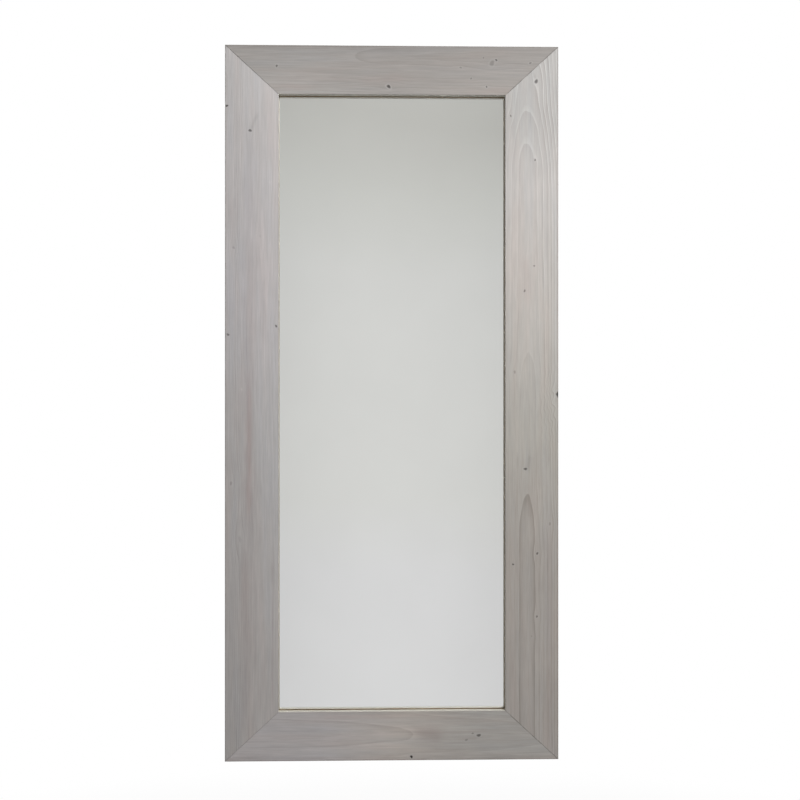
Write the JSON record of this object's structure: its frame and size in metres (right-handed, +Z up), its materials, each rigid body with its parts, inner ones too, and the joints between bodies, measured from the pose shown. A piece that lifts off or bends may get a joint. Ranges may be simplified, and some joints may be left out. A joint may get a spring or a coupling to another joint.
{
  "type": "wall mirror",
  "caption": "Upright wall mirror in a wide mitred frame of grey-washed softwood, with backing board, turn buttons and D-ring hangers.",
  "frame": {"origin": "on the wall plane, halfway between the pivots of the two D-rings on the back", "axes": "+Z up, +X to the right as seen from the front, +Y back into the wall; the front faces -Y"},
  "size_m": [0.7, 0.038, 1.5],
  "materials": {
    "washed_wood": "spruce boards with a grey-white wash, matt, with knots and growth rings",
    "mirror_glass": "silvered float glass, polished",
    "black_foam": "black closed-cell foam",
    "black_rubber": "black moulded rubber",
    "white_foam": "thin foam sheet",
    "fibreboard": "brown fibreboard",
    "beech": "beech dowel",
    "zinc_plate": "zinc-plated sheet",
    "bright_wire": "nickel-plated wire",
    "screw_steel": "zinc-plated screw"
  },
  "bodies": {
    "root": {"left_stile": "washed_wood", "right_stile": "washed_wood", "top_rail": "washed_wood", "bottom_rail": "washed_wood", "mirror_pane": "mirror_glass", "glazing_tape": "black_foam", "setting_blocks": "black_rubber", "edge_spacers": "black_rubber", "cushion_sheet": "white_foam", "backing_board": "fibreboard", "corner_plate_screws": "screw_steel", "turn_button_screws": "screw_steel", "hanger_screws": "screw_steel", "top_left_dowels": "beech", "corner_plate_top_left": "zinc_plate", "wall_bumper_top_left": "black_rubber", "top_right_dowels": "beech", "corner_plate_top_right": "zinc_plate", "wall_bumper_top_right": "black_rubber", "bottom_left_dowels": "beech", "corner_plate_bottom_left": "zinc_plate", "wall_bumper_bottom_left": "black_rubber", "bottom_right_dowels": "beech", "corner_plate_bottom_right": "zinc_plate", "wall_bumper_bottom_right": "black_rubber", "hanger_strap_left": "zinc_plate", "hanger_strap_right": "zinc_plate"},
    "hanger_ring_left_body": {"hanger_ring_left": "bright_wire"},
    "hanger_ring_right_body": {"hanger_ring_right": "bright_wire"},
    "turn_button_bottom_1_body": {"turn_button_bottom_1": "zinc_plate"},
    "turn_button_bottom_2_body": {"turn_button_bottom_2": "zinc_plate"},
    "turn_button_left_1_body": {"turn_button_left_1": "zinc_plate"},
    "turn_button_left_2_body": {"turn_button_left_2": "zinc_plate"},
    "turn_button_left_3_body": {"turn_button_left_3": "zinc_plate"},
    "turn_button_right_1_body": {"turn_button_right_1": "zinc_plate"},
    "turn_button_right_2_body": {"turn_button_right_2": "zinc_plate"},
    "turn_button_right_3_body": {"turn_button_right_3": "zinc_plate"},
    "turn_button_top_1_body": {"turn_button_top_1": "zinc_plate"},
    "turn_button_top_2_body": {"turn_button_top_2": "zinc_plate"}
  },
  "joints": [
    {"name": "button_left_1_swivel", "type": "hinge", "parent": "root", "child": "turn_button_left_1_body", "pos_m": [-0.26, -0.00695, -0.977], "axis": [0, 1, 0], "continuous": true},
    {"name": "button_left_2_swivel", "type": "hinge", "parent": "root", "child": "turn_button_left_2_body", "pos_m": [-0.26, -0.00695, -0.45], "axis": [0, 1, 0], "continuous": true},
    {"name": "button_left_3_swivel", "type": "hinge", "parent": "root", "child": "turn_button_left_3_body", "pos_m": [-0.26, -0.00695, 0.077], "axis": [0, 1, 0], "continuous": true},
    {"name": "button_right_1_swivel", "type": "hinge", "parent": "root", "child": "turn_button_right_1_body", "pos_m": [0.26, -0.00695, -0.977], "axis": [0, 1, 0], "continuous": true},
    {"name": "button_right_2_swivel", "type": "hinge", "parent": "root", "child": "turn_button_right_2_body", "pos_m": [0.26, -0.00695, -0.45], "axis": [0, 1, 0], "continuous": true},
    {"name": "button_right_3_swivel", "type": "hinge", "parent": "root", "child": "turn_button_right_3_body", "pos_m": [0.26, -0.00695, 0.077], "axis": [0, 1, 0], "continuous": true},
    {"name": "button_top_1_swivel", "type": "hinge", "parent": "root", "child": "turn_button_top_1_body", "pos_m": [-0.128, -0.00695, 0.219], "axis": [0, 1, 0], "continuous": true},
    {"name": "button_top_2_swivel", "type": "hinge", "parent": "root", "child": "turn_button_top_2_body", "pos_m": [0.128, -0.00695, 0.219], "axis": [0, 1, 0], "continuous": true},
    {"name": "button_bottom_1_swivel", "type": "hinge", "parent": "root", "child": "turn_button_bottom_1_body", "pos_m": [-0.128, -0.00695, -1.119], "axis": [0, 1, 0], "continuous": true},
    {"name": "button_bottom_2_swivel", "type": "hinge", "parent": "root", "child": "turn_button_bottom_2_body", "pos_m": [0.128, -0.00695, -1.119], "axis": [0, 1, 0], "continuous": true},
    {"name": "ring_left_swing", "type": "hinge", "parent": "root", "child": "hanger_ring_left_body", "pos_m": [-0.299, -0.0038, 0], "axis": [1, 0, 0], "range_deg": [0, 188]},
    {"name": "ring_right_swing", "type": "hinge", "parent": "root", "child": "hanger_ring_right_body", "pos_m": [0.299, -0.0038, 0], "axis": [1, 0, 0], "range_deg": [0, 188]}
  ]
}
